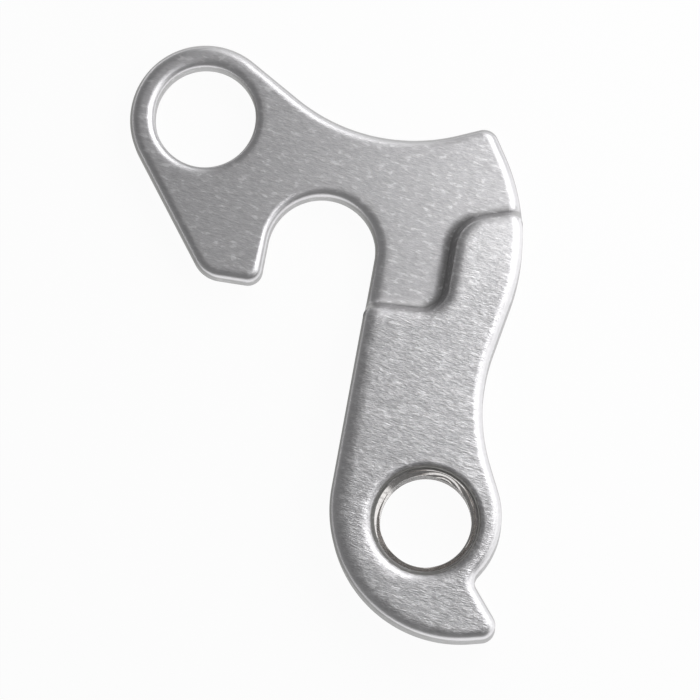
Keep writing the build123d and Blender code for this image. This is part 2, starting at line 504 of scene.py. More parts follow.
def step_section(foot, crest, low, high):
    """Section of the step: distances across its line, heights and slopes, from the plate to the arm.

    The slope grows with a power of the distance over the length of the foot, and falls in the same way
    over that of the crest. A straight wall between them takes up the rest of the height. Adding up the
    sines and the cosines of the slope along the section gives heights and distances.
    """
    steepest = radians(STEP_STEEPEST)
    share = np.linspace(0, 1, STEP_ROWS)
    eased = steepest * share**STEP_EASE
    slope = np.concatenate([eased, eased[::-1]])
    parts = STEP_ROWS - 1
    pace = np.concatenate([np.full(parts, foot / parts), [0.0], np.full(parts, crest / parts)])
    middle = (slope[1:] + slope[:-1]) / 2
    pace[parts] = (high - low - np.sum(pace * np.sin(middle))) / sin(steepest)
    across = np.concatenate([[0.0], np.cumsum(pace * np.cos(middle))])
    height = low + np.concatenate([[0.0], np.cumsum(pace * np.sin(middle))])
    return across - across[parts:parts + 2].mean() + STEP_SHIFT, height, slope


def soft_corners(line):
    """Line with each inner corner replaced by a short parabola that touches both of its sides."""
    corner = line[1:-1]
    before = line[:-2] - corner
    after = line[2:] - corner
    before *= CORNER_REACH / np.linalg.norm(before, axis=1, keepdims=True)
    after *= CORNER_REACH / np.linalg.norm(after, axis=1, keepdims=True)
    share = np.linspace(0, 1, CORNER_ROWS)[:, None]
    bent = corner[:, None] + before[:, None] * (1 - share) ** 2 + after[:, None] * share**2
    return np.concatenate([line[:1], bent.reshape(-1, 2), line[-1:]])


def turned_surface(centre, section):
    """Section of radii and heights turned about an upright axis, clockwise seen from above."""
    angle = -2 * pi * np.arange(HOLE_COLUMNS) / HOLE_COLUMNS
    radius, height = section.T
    x = centre[0] + radius[:, None] * np.cos(angle)
    y = centre[1] + radius[:, None] * np.sin(angle)
    return np.stack([x, y, np.broadcast_to(height[:, None], x.shape)], axis=-1)


def thread_surface(pitch, low, high):
    """Thread of the derailleur hole: its form carried up a helix, and cut off by the cones of both mouths.

    At a share w of the pitch after t turns, the height is pitch times (t + w), held between the two
    ends, and the radius is the thread form's at w or the cone's at that height, whichever is more. The
    upper cone closes in slowly where the thread starts, by a power of the cosine of the angle from there.
    """
    first = int(np.floor((low / pitch - 1) * HOLE_COLUMNS))
    last = int(np.ceil(high / pitch * HOLE_COLUMNS))
    turn = np.arange(first, last + 1) / HOLE_COLUMNS
    share = np.linspace(0, 1, THREAD_ROWS + 1)[:, None]
    height = np.clip(pitch * (turn + share), low, high)
    depth = np.interp(share, THREAD_FORM_PLACES, THREAD_FORM_DEPTHS) * pitch / 2
    angle = 2 * pi * (turn + START_COLUMN / HOLE_COLUMNS)
    drawn = START_DRAWN * np.clip(np.cos(2 * pi * turn), 0, 1) ** START_FOCUS
    cone = CORE_RADIUS + pitch / 2 - np.minimum(height - low, (1 - drawn) * (high - height))
    radius = np.maximum(CORE_RADIUS + depth, cone)
    x = THREAD_CENTRE[0] + radius * np.cos(angle)
    y = THREAD_CENTRE[1] + radius * np.sin(angle)
    return np.stack([x, y, height], axis=-1)


def grid_surface(points, closed):
    """Points of a grid as one list, and its triangles, two to a cell.

    A closed grid has cells between its last column and its first.
    """
    rows, columns = points.shape[:2]
    row = np.arange(rows - 1)[:, None]
    column = np.arange(columns if closed else columns - 1)
    following = (column + 1) % columns
    near = row * columns
    far = near + columns
    first = np.stack(np.broadcast_arrays(near + column, far + column, far + following), axis=-1)
    second = np.stack(np.broadcast_arrays(near + column, far + following, near + following), axis=-1)
    return points.reshape(-1, 3), np.concatenate([first.reshape(-1, 3), second.reshape(-1, 3)])


def spread_points(line):
    """Points of an even triangular grid over the box of a closed line."""
    low = line.min(axis=0)
    high = line.max(axis=0)
    pitch = np.array([FACE_SPACING, FACE_SPACING * sqrt(3) / 2])
    count = np.ceil((high - low) / pitch).astype(int)
    column, row = np.meshgrid(np.arange(count[0]), np.arange(count[1]))
    return low + pitch * np.stack([column + row % 2 / 2, row], axis=-1).reshape(-1, 2)


def face_surface(outer, holes, inner):
    """Points and triangles of a face inside one closed line and outside others, through inner points.

    Constrained Delaunay triangles join the lines and the points. The holes are round, so a triangle
    lies in a hole when all its corners are on that hole's line.
    """
    loops = [outer, *holes]
    count = np.array([len(loop) for loop in loops])
    points = np.concatenate([*loops, inner])
    start = np.repeat(np.cumsum(count) - count, count)
    index = np.arange(count.sum())
    following = start + (index - start + 1) % np.repeat(count, count)
    edges = np.stack([index, following], axis=-1).tolist()
    made = delaunay_2d_cdt(points.tolist(), edges, [], INSIDE_LINES, WELD)
    if len(made[0]) != len(points):
        raise RuntimeError("The edges of a face cross each other")
    triangles = np.array(made[2])
    owners = np.append(count, len(inner))
    line = np.repeat(np.arange(len(owners)), owners)[triangles]
    in_hole = (line.min(axis=1) == line.max(axis=1)) & (line[:, 0] > 0) & (line[:, 0] < len(loops))
    return points, triangles[~in_hole]


def welded(surfaces):
    """Surfaces joined into one: points that fall together become one, and collapsed triangles go."""
    count = np.cumsum([0] + [len(points) for points, triangles, kind in surfaces])
    points = np.concatenate([points for points, triangles, kind in surfaces])
    triangles = np.concatenate([made[1] + start for made, start in zip(surfaces, count)])
    kinds = np.concatenate([np.full(len(triangles), kind) for points, triangles, kind in surfaces])
    key = np.round(points / WELD)
    _, first, same = np.unique(key, axis=0, return_index=True, return_inverse=True)
    triangles = same.reshape(-1)[triangles]
    a, b, c = triangles.T
    whole = (a != b) & (b != c) & (c != a)
    return points[first], triangles[whole], kinds[whole]


def with_height(points, height):
    """Points in the plane with a height added to each."""
    height = np.broadcast_to(height, points.shape[:-1])
    return np.concatenate([points, height[..., None]], axis=-1)


def hanger_plan(sizes):
    """Sizes of the forging in millimetres, the belt of its outline, and the step's line and section."""
    plate = sizes.plate_thickness / MM
    arm = sizes.arm_thickness / MM
    edge = sizes.edge_round / MM
    rounds = outline_rounds(edge)
    across, rise, slope = step_section(sizes.step_foot / MM, sizes.step_crest / MM, plate, arm)
    return Plan(
        plate=plate,
        arm=arm,
        edge=edge,
        mouth=sizes.mouth_round / MM,
        chamfer=sizes.back_chamfer / MM,
        pitch=sizes.thread_pitch / MM,
        rounds=rounds,
        belt=belt_legs(rounds),
        step=step_legs(),
        across=across,
        rise=rise,
        slope=slope,
    )


def rim_drop(plan, points):
    """Drop of a face below its level where the outline's soft edge reaches over it."""
    inset, place = nearest_on(plan.belt, points.reshape(-1, 2))
    drop = soft_drop(inset, edge_reach(plan.rounds, plan.belt, place), plan.edge)
    return drop.reshape(points.shape[:-1])


def mouths_drop(plan, points):
    """Drop of a face below its level where the soft edges of the hole mouths reach over it.

    The reach of the thread's mouth is the mean one plus its unevenness times the cosine of the angle
    from the direction in which it is widest.
    """
    drop = 0
    for centre, radius, uneven in (
        (FIXING_CENTRE, FIXING_RADIUS, 0),
        (THREAD_CENTRE, LEAD_RADIUS, MOUTH_UNEVEN),
    ):
        x, y = np.moveaxis(points - centre, -1, 0)
        reach = MOUTH_REACH + uneven * np.cos(np.arctan2(y, x) - radians(MOUTH_WIDEST))
        drop = drop + soft_drop(np.hypot(x, y) - radius, reach, plan.mouth)
    return drop


def edge_columns(plan):
    """Columns of the edge: round the plate, up the step on the left, round the arm, down the step again.

    A column leaves the face at the edge's size inside the wall and turns square to the face. So on the
    step its wall lies further across, by that size times the sine of the slope.
    """
    least = LEAST_SWING * np.arange(len(plan.slope))
    swing = np.maximum.accumulate(plan.across + plan.edge * np.sin(plan.slope) - least) + least
    first = plan.step[0]
    last = plan.step[-1]
    left_face = places_across(plan.belt, plan.edge, first, -1, plan.across)
    left_wall = places_across(plan.belt, plan.edge, first, -1, swing)
    right_face = places_across(plan.belt, plan.edge, last, 1, plan.across)[::-1]
    right_wall = places_across(plan.belt, plan.edge, last, 1, swing)[::-1]

    places = sampled_places(plan.belt)
    before = places[places < left_face[0] - COLUMN_GAP]
    behind = places[places > right_face[-1] + COLUMN_GAP]
    plate = np.concatenate([behind, before])
    arm = places[(places > left_face[-1] + COLUMN_GAP) & (places < right_face[0] - COLUMN_GAP)]
    flat_plate = np.zeros(len(plate))
    flat_arm = np.zeros(len(arm))
    ends = np.cumsum([len(plate), len(left_face), len(arm), len(right_face)])
    return Columns(
        face=np.concatenate([plate, left_face, arm, right_face]),
        wall=np.concatenate([plate, left_wall, arm, right_wall]),
        height=np.concatenate([flat_plate + plan.plate, plan.rise, flat_arm + plan.arm, plan.rise[::-1]]),
        slope=np.concatenate([flat_plate, plan.slope, flat_arm, plan.slope[::-1]]),
        on_plate=slice(0, ends[0]),
        on_left=slice(ends[0], ends[1]),
        on_arm=slice(ends[1], ends[2]),
        on_right=slice(ends[2], ends[3]),
    )


def edge_surface(plan, columns):
    """Grid of the soft edge, the wall and the back chamfer, with rows from the face to the back.

    A point of the soft edge starts from a centre inside the wall and under the face. It goes towards the
    wall by what its inset leaves of the edge's size, and towards the face by what its drop leaves. The
    wall and the chamfer have the same inset and height all round.
    """
    under = columns.height - plan.edge * np.cos(columns.slope)
    face = with_height(beside_line(plan.belt, columns.face, -plan.edge), columns.height)
    centre = with_height(beside_line(plan.belt, columns.wall, -plan.edge), under)
    wall = with_height(beside_line(plan.belt, columns.wall, 0.0), under)
    inset = plan.edge * (1 - np.sin(np.linspace(0, pi / 2, RIM_ROWS)))[:, None]
    drop = soft_drop(inset, edge_reach(plan.rounds, plan.belt, columns.wall), plan.edge)
    to_wall = (1 - inset / plan.edge)[..., None] * (wall - centre)
    to_face = (1 - drop / plan.edge)[..., None] * (face - centre)
    rim = centre + to_wall + to_face
    rim[..., 2] -= mouths_drop(plan, rim[..., :2])

    section = plan.chamfer * np.array([(0, 2), (0, 1), (1, 0), (2, 0)])
    inset, height = soft_corners(section).T[..., None]
    skirt = with_height(beside_line(plan.belt, columns.wall, -inset), height)
    return np.concatenate([rim, skirt])


def step_surface(plan, columns, edge_line):
    """Grid of the step: its section carried along its line, with rows from the left edge to the right.

    Where the outline's soft edge reaches over it, a point sinks square to the section, by the sine of
    the slope across the line and by its cosine downwards.
    """
    first = plan.step[0]
    last = plan.step[-1]
    enter = np.array([cos(first.heading), sin(first.heading)])
    leave = np.array([cos(last.heading), sin(last.heading)])
    left = beside_line(plan.belt, columns.face[columns.on_left], -plan.edge)
    right = beside_line(plan.belt, columns.face[columns.on_right][::-1], -plan.edge)
    start = (left - first[:2]) @ enter
    finish = (right - last[:2]) @ leave + sum(leg.length for leg in plan.step[:-1])
    places = start[:, None] + (finish - start)[:, None] * np.linspace(0, 1, STEP_COLUMNS)
    across = plan.across[:, None]
    slope = plan.slope[:, None]
    dip = rim_drop(plan, beside_line(plan.step, places, across))
    sunk = beside_line(plan.step, places, across + dip * np.sin(slope))
    riser = with_height(sunk, plan.rise[:, None] - dip * np.cos(slope))
    riser[:, 0] = edge_line[columns.on_left]
    riser[:, -1] = edge_line[columns.on_right][::-1]
    return riser


def hole_surfaces(plan):
    """Grids of the plain fixing hole, of the thread's upper and lower mouth, and of the thread.

    A section of radii and heights is turned about each hole's axis. Its mouth has rows that lie closer
    towards the wall, and sinks where soft edges reach over it.
    """
    aside = plan.mouth * (1 - np.sin(np.linspace(0, pi / 2, MOUTH_ROWS)))
    lip = np.column_stack([aside, np.zeros(MOUTH_ROWS)])
    out = 2 * CORNER_REACH
    bore_line = np.array([
        (FIXING_RADIUS, plan.plate - plan.mouth),
        (FIXING_RADIUS, plan.chamfer),
        (FIXING_RADIUS + plan.chamfer, 0),
        (FIXING_RADIUS + plan.chamfer + out, 0),
    ])
    bore_section = np.concatenate([lip + (FIXING_RADIUS, plan.plate), soft_corners(bore_line)[1:]])
    root_radius = CORE_RADIUS + plan.pitch / 2
    low = LEAD_RADIUS - root_radius
    high = plan.arm - plan.mouth - low
    upper_section = np.concatenate([lip + (LEAD_RADIUS, plan.arm), [(root_radius, high)]])
    lower_line = np.array([(root_radius, low), (LEAD_RADIUS, 0), (LEAD_RADIUS + out, 0)])
    bore = turned_surface(FIXING_CENTRE, bore_section)
    upper = turned_surface(THREAD_CENTRE, upper_section)
    lower = turned_surface(THREAD_CENTRE, soft_corners(lower_line))
    for mouth in (bore[:MOUTH_ROWS], upper[:MOUTH_ROWS]):
        flat = mouth[..., :2]
        mouth[..., 2] -= rim_drop(plan, flat) + mouths_drop(plan, flat)
    return bore, upper, lower, thread_surface(plan.pitch, low, high)


def face_surfaces(plan, columns, edge, riser, bore, upper, lower):
    """Faces of the plate, the arm and the back, between the edge, the step and the holes.

    Inner points stay clear of all three. The faces of plate and arm sink where soft edges reach over
    them, and the back is flat.
    """
    clear = FACE_SPACING / 2
    inner = spread_points(edge[-1, :, :2])
    keep = nearest_on(plan.belt, inner)[0] > plan.edge + clear
    for centre, radius in ((FIXING_CENTRE, FIXING_RADIUS), (THREAD_CENTRE, LEAD_RADIUS)):
        keep &= np.linalg.norm(inner - centre, axis=-1) > radius + plan.mouth + clear
    inner = inner[keep]
    beyond = -nearest_on(plan.step, inner)[0]
    plate_line = np.concatenate([edge[0, columns.on_plate, :2], riser[0, :, :2]])
    plate_inner = inner[beyond < plan.across[0] - clear]
    arm_line = np.concatenate([edge[0, columns.on_arm, :2], riser[-1, ::-1, :2]])
    arm_inner = inner[beyond > plan.across[-1] + clear]
    faces = []
    for level, line, hole, within in (
        (plan.plate, plate_line, bore, plate_inner),
        (plan.arm, arm_line, upper, arm_inner),
    ):
        points, triangles = face_surface(line, [hole[0, :, :2]], within)
        height = level - rim_drop(plan, points) - mouths_drop(plan, points)
        faces.append((with_height(points, height), triangles))
    mouths = [bore[-1, :, :2], lower[-1, :, :2]]
    points, triangles = face_surface(edge[-1, :, :2], mouths, inner[:0])
    faces.append((with_height(points, 0.0), triangles[:, ::-1]))
    return faces


def hanger_surface(sizes):
    """Whole skin of the hanger as points in millimetres, triangles and the kind of each triangle.

    A soft edge is carried along the belt from the faces to the walls, and climbs the step where the
    step's section meets it. The faces lie between that edge, the step and the hole mouths.
    """
    plan = hanger_plan(sizes)
    columns = edge_columns(plan)
    edge = edge_surface(plan, columns)
    riser = step_surface(plan, columns, edge[0])
    bore, upper, lower, thread = hole_surfaces(plan)
    plate_face, arm_face, back_face = face_surfaces(plan, columns, edge, riser, bore, upper, lower)
    return welded([
        (*grid_surface(edge, True), SKIN),
        (*grid_surface(riser, False), STEP),
        (*plate_face, SKIN),
        (*arm_face, SKIN),
        (*back_face, SKIN),
        (*grid_surface(bore, True), SKIN),
        (*grid_surface(upper, True), MOUTH),
        (*grid_surface(lower, True), CUT),
        (*grid_surface(thread, False), CUT),
    ])


def add_node(tree, kind, sockets, **settings):
    """Adds a node, sets its settings, and gives its sockets values or links from other nodes' outputs."""
    node = tree.nodes.new(kind)
    for name, value in settings.items():
        setattr(node, name, value)
    for name, value in sockets.items():
        if isinstance(value, bpy.types.NodeSocket):
            tree.links.new(value, node.inputs[name])
        else:
            node.inputs[name].default_value = value
    return node


def new_material(name):
    """Empty material and its node tree."""
    material = bpy.data.materials.new(name)
    material.use_nodes = True
    material.node_tree.nodes.clear()
    return material, material.node_tree


def forged_aluminium(finish):
    """Aluminium forged in a die and tumbled: a satin skin that is never quite even.

    Short wrinkles, left by the metal's flow, ride on a slow swell. They are deep on the arm, and shallow
    on the plate and at the arm's top, where the die pushed harder. Their crests are burnished and their
    valleys dull. The arm's top is also painted lighter, a painted highlight for the light that falls more
    brightly there. Lighter flecks lie all over, where the tumbling rubbed more, and rounded edges are
    burnished and almost free of wrinkles. Steep walls, which it hardly reaches, are rougher, and they are
    painted darker, a painted shade that starts earlier where they face the front or the top, in the
    thread's mouth and in the step's foot. Flecks show through there too.
    """
    material, tree = new_material("forged_tumbled_aluminium")
    place = add_node(tree, "ShaderNodeTexCoord", {}).outputs["Object"]
    noises = []
    for length, width, detail in (
        (finish.wrinkle_length, finish.wrinkle_width, WRINKLE_DETAIL),
        (finish.rub_length, finish.rub_width, PATCH_DETAIL),
    ):
        flow = add_node(tree, "ShaderNodeMapping", {
            "Vector": place,
            "Rotation": (0.0, 0.0, finish.wrinkle_tilt),
            "Scale": (length, width, width),
        }, vector_type="TEXTURE")
        noise = add_node(tree, "ShaderNodeTexNoise", {
            "Vector": flow.outputs["Vector"],
            "Scale": NOISE_SCALE,
            "Detail": detail,
            "Roughness": NOISE_ROUGHNESS,
        })
        level = add_node(tree, "ShaderNodeMath", {
            0: noise.outputs["Fac"],
            1: NOISE_MEAN,
        }, operation="SUBTRACT")
        noises.append(level.outputs["Value"])
    wrinkles, patches = noises

    where = add_node(tree, "ShaderNodeSeparateXYZ", {"Vector": place}).outputs
    # Share of painted shade on steep walls, read from the mesh
    steep = add_node(tree, "ShaderNodeAttribute", {}, attribute_name=PAINTED_SHADE).outputs["Fac"]
    rounded = add_node(tree, "ShaderNodeAttribute", {}, attribute_name=ROUNDED).outputs["Fac"]
    pressed_and_lit = add_node(tree, "ShaderNodeMapRange", {
        "Value": where["Y"],
        "From Min": FADE_START,
        "From Max": FADE_END,
    }).outputs["Result"]
    on_arm = add_node(tree, "ShaderNodeMapRange", {
        "Value": where["Z"],
        "From Min": PLATE_THICKNESS,
        "From Max": ARM_THICKNESS,
    }).outputs["Result"]
    # Painted highlight: where the colour at the arm's top is painted lighter, for the light that falls more
    # brightly there
    top = add_node(tree, "ShaderNodeMath", {0: pressed_and_lit, 1: on_arm}, operation="MULTIPLY").outputs["Value"]

    arm_strength = add_node(tree, "ShaderNodeMapRange", {
        "Value": pressed_and_lit,
        "To Min": 1.0,
        "To Max": finish.top_wrinkles,
    }).outputs["Result"]
    strength = add_node(tree, "ShaderNodeMapRange", {
        "Value": on_arm,
        "To Min": finish.plate_wrinkles,
        "To Max": arm_strength,
    }).outputs["Result"]
    left = add_node(tree, "ShaderNodeMapRange", {
        "Value": rounded,
        "To Min": 1.0,
        "To Max": WRINKLES_LEFT,
    }).outputs["Result"]
    share = add_node(tree, "ShaderNodeMath", {0: strength, 1: left}, operation="MULTIPLY").outputs["Value"]
    uneven = add_node(tree, "ShaderNodeMath", {
        0: patches,
        1: SWELL_SHARE,
        2: wrinkles,
    }, operation="MULTIPLY_ADD").outputs["Value"]
    relief = add_node(tree, "ShaderNodeMath", {0: uneven, 1: share}, operation="MULTIPLY").outputs["Value"]
    bump = add_node(tree, "ShaderNodeBump", {
        "Height": relief,
        "Strength": 1.0,
        "Distance": finish.wrinkle_depth,
    })

    rubbed = add_node(tree, "ShaderNodeMapRange", {
        "Value": patches,
        "From Min": RUB_START,
        "From Max": RUB_FULL,
        "To Max": RUB_SHINE,
    }, interpolation_type="SMOOTHSTEP").outputs["Result"]
    flecks = add_node(tree, "ShaderNodeMath", {0: rubbed, 1: left}, operation="MULTIPLY").outputs["Value"]
    worn = add_node(tree, "ShaderNodeMapRange", {
        "Value": relief,
        "From Min": -WORN_REACH,
        "From Max": WORN_REACH,
        "To Max": WORN_SHINE,
    }).outputs["Result"]
    burnished = add_node(tree, "ShaderNodeMath", {
        0: rounded,
        1: ROUNDED_SHINE,
        2: worn,
    }, operation="MULTIPLY_ADD").outputs["Value"]
    # Painted highlight at the arm's top, added to the burnished crests and edges
    bright = add_node(tree, "ShaderNodeMath", {
        0: top,
        1: PAINTED_TOP_LIGHT,
        2: burnished,
    }, operation="MULTIPLY_ADD").outputs["Value"]
    shine = add_node(tree, "ShaderNodeMath", {0: bright, 1: flecks}, operation="ADD", use_clamp=True)
    # Painted shade: steep walls are painted towards the darker wall colour, less where flecks show through
    dark = add_node(tree, "ShaderNodeMath", {
        0: flecks,
        1: -RUB_THROUGH,
        2: steep,
    }, operation="MULTIPLY_ADD", use_clamp=True)

    face = add_node(tree, "ShaderNodeMix", {
        MIX_SHARE: shine.outputs["Value"],
        MIX_FIRST: (*finish.valley_colour, OPAQUE),
        MIX_SECOND: (*finish.metal_colour, OPAQUE),
    }, data_type="RGBA")
    # Mixes the painted shade into the face colour
    colour = add_node(tree, "ShaderNodeMix", {
        MIX_SHARE: dark.outputs["Value"],
        MIX_FIRST: face.outputs[MIX_RESULT],
        MIX_SECOND: (*finish.wall_shade_colour, OPAQUE),
    }, data_type="RGBA")
    rough = add_node(tree, "ShaderNodeMapRange", {
        "Value": steep,
        "To Min": finish.roughness,
        "To Max": finish.wall_roughness,
    })
    shader = add_node(tree, "ShaderNodeBsdfPrincipled", {
        "Base Color": colour.outputs[MIX_RESULT],
        "Metallic": 1.0,
        "Roughness": rough.outputs["Result"],
        "Normal": bump.outputs["Normal"],
    })
    add_node(tree, "ShaderNodeOutputMaterial", {"Surface": shader.outputs["BSDF"]})
    return material


def cut_aluminium(finish):
    """Aluminium freshly cut by a tap: bright and smoother than the forged skin.

    Short upright chatter marks cross the ridges. They are duller and darker than the clean cut, so the
    eye sees a sparkle that breaks along each ridge instead of one even line.
    """
    material, tree = new_material("cut_aluminium")
    place = add_node(tree, "ShaderNodeTexCoord", {}).outputs["Object"]
    stretched = add_node(tree, "ShaderNodeMapping", {
        "Vector": place,
        "Scale": (finish.chatter_width, finish.chatter_width, finish.chatter_height),
    }, vector_type="TEXTURE")
    chatter = add_node(tree, "ShaderNodeTexNoise", {
        "Vector": stretched.outputs["Vector"],
        "Scale": NOISE_SCALE,
        "Detail": CHATTER_DETAIL,
    })
    smeared = add_node(tree, "ShaderNodeMapRange", {
        "Value": chatter.outputs["Fac"],
        "From Min": NOISE_MEAN,
        "From Max": CHATTER_FULL,
    }).outputs["Result"]
    colour = add_node(tree, "ShaderNodeMix", {
        MIX_SHARE: smeared,
        MIX_FIRST: (*finish.cut_colour, OPAQUE),
        MIX_SECOND: (*finish.chatter_colour, OPAQUE),
    }, data_type="RGBA")
    rough = add_node(tree, "ShaderNodeMapRange", {
        "Value": smeared,
        "To Min": finish.cut_roughness,
        "To Max": finish.chatter_roughness,
    })
    shader = add_node(tree, "ShaderNodeBsdfPrincipled", {
        "Base Color": colour.outputs[MIX_RESULT],
        "Metallic": 1.0,
        "Roughness": rough.outputs["Result"],
    })
    add_node(tree, "ShaderNodeOutputMaterial", {"Surface": shader.outputs["BSDF"]})
    return material


def white_floor(stage):
    """Pale matt floor that takes a soft shadow, and that a camera or a shiny surface sees as white."""
    material, tree = new_material("pale_matt_floor")
    path = add_node(tree, "ShaderNodeLightPath", {}).outputs
    seen = path["Is Camera Ray"]
    for ray in ("Is Glossy Ray", "Is Transmission Ray"):
        either = add_node(tree, "ShaderNodeMath", {0: seen, 1: path[ray]}, operation="MAXIMUM")
        seen = either.outputs["Value"]
    share = add_node(tree, "ShaderNodeMath", {0: seen, 1: stage.floor_glow}, operation="MULTIPLY")
    matt = add_node(tree, "ShaderNodeBsdfDiffuse", {"Color": (*stage.floor_colour, OPAQUE)})
    white = linear_colour("FFFFFF")
    glow = add_node(tree, "ShaderNodeEmission", {"Color": (*white, OPAQUE), "Strength": 1.0})
    mixed = add_node(tree, "ShaderNodeMixShader", {
        0: share.outputs["Value"],
        1: matt.outputs["BSDF"],
        2: glow.outputs["Emission"],
    })
    add_node(tree, "ShaderNodeOutputMaterial", {"Surface": mixed.outputs["Shader"]})
    return material


def studio_world(stage):
    """Even grey room light on the object."""
    world = bpy.data.worlds.new("studio_room")
    world.use_nodes = True
    tree = world.node_tree
    tree.nodes.clear()
    room = add_node(tree, "ShaderNodeBackground", {"Color": (*stage.room_colour, OPAQUE), "Strength": 1.0})
    add_node(tree, "ShaderNodeOutputWorld", {"Surface": room.outputs["Background"]})
    return world


def skin_attributes(points, triangles, kinds, normals):
    """Values at the points of the two attributes that the forged skin's material reads: steep and rounded.

    Steep grows from 0 to 1 as the upright share of the normal falls from a start to an end, and in the
    step's foot also with the sine of the slope, less and less towards the arm. Places that face elsewhere
    than the front, and the step, have a share of it. The material darkens the colour by it, so it is a
    painted shade on the walls. Rounded grows in the same way as steep, falls again as the upright share
    goes to 0, and is 0 on the step and in the thread's mouth.
    """
    to_rear, to_top, upright = normals.T
    to_front = np.clip(-to_rear, 0, 1)
    to_top = np.clip(to_top, 0, 1)
    upright = np.minimum(np.abs(upright), 1)
    in_mouth = np.zeros(len(points))
    in_mouth[triangles[kinds == MOUTH]] = 1
    on_step = np.zeros(len(points))
    on_step[triangles[kinds == STEP]] = 1
    in_foot = on_step * (ARM_THICKNESS - points[:, 2] * MM) / (ARM_THICKNESS - PLATE_THICKNESS)

    # Painted shade on steep walls, starting earlier where they face the front or the top, in the thread's
    # mouth and in the step's foot
    early = np.max([EARLY_FRONT * to_front, EARLY_TOP * to_top, EARLY_MOUTH * in_mouth], axis=0)
    wall = (STEEP_START + early - upright) / (STEEP_START - STEEP_FULL)
    foot = in_foot * np.sqrt(1 - upright**2) / FOOT_FULL
    steep = np.clip(np.maximum(wall, foot), 0, 1)
    steep *= STEEP_ELSEWHERE + (1 - STEEP_ELSEWHERE) * np.maximum(to_front, in_mouth)
    steep *= 1 - (1 - STEEP_STEP) * on_step

    rounded = np.clip((ROUNDED_START - upright) / (ROUNDED_START - ROUNDED_FULL), 0, 1)
    rounded *= np.clip(upright / ROUNDED_FADES, 0, 1)
    rounded *= 1 - np.maximum(on_step, in_mouth)
    return steep, rounded


def add_piece(name, points, triangles, kinds, forged, cut):
    """Adds a mesh object at the origin from points in millimetres, with its materials and attributes."""
    mesh = bpy.data.meshes.new(name)
    mesh.from_pydata((points * MM).tolist(), [], triangles.tolist())
    mesh.materials.append(forged)
    mesh.materials.append(cut)
    mesh.polygons.foreach_set("material_index", (kinds == CUT).astype(np.int32))
    mesh.shade_smooth()
    mesh.set_sharp_from_angle(angle=SHARP_ANGLE)
    normals = np.empty(points.size, np.float32)
    mesh.vertex_normals.foreach_get("vector", normals)
    steep, rounded = skin_attributes(points, triangles, kinds, normals.reshape(-1, 3))
    for label, values in ((PAINTED_SHADE, steep), (ROUNDED, rounded)):
        mesh.attributes.new(label, "FLOAT", "POINT").data.foreach_set("value", values)
    piece = bpy.data.objects.new(name, mesh)
    bpy.context.scene.collection.objects.link(piece)
    return piece


class HangerSizes(PropertyGroup):
    """Sizes of the forging that a user would change."""

    plate_thickness: FloatProperty(
        name="Plate thickness",
        description="Height of the plate's face above the outer face",
        default=PLATE_THICKNESS,
        unit="LENGTH",
    )
    arm_thickness: FloatProperty(
        name="Arm thickness",
        description="Height of the arm's face above the outer face",
        default=ARM_THICKNESS,
        unit="LENGTH",
    )
    edge_round: FloatProperty(
        name="Edge round",
        description="Radius of the forged edge on the wheel side",
        default=1.2 * MM,
        unit="LENGTH",
    )
    mouth_round: FloatProperty(
        name="Mouth round",
        description="Radius of the hole mouths on the wheel side",
        default=0.85 * MM,
        unit="LENGTH",
    )
    back_chamfer: FloatProperty(
        name="Back chamfer",
        description="Width of the chamfer round the outer face",
        default=0.6 * MM,
        unit="LENGTH",
    )
    step_foot: FloatProperty(
        name="Step foot",
        description="Length of the hollow bend at the foot of the step",
        default=1.5 * MM,
        unit="LENGTH",
    )
    step_crest: FloatProperty(
        name="Step crest",
        description="Length of the outer bend at the crest of the step",
        default=1.9 * MM,
        unit="LENGTH",
    )
    thread_pitch: FloatProperty(
        name="Thread pitch",
        description="Pitch of the derailleur thread",
        default=1.0 * MM,
        unit="LENGTH",
    )


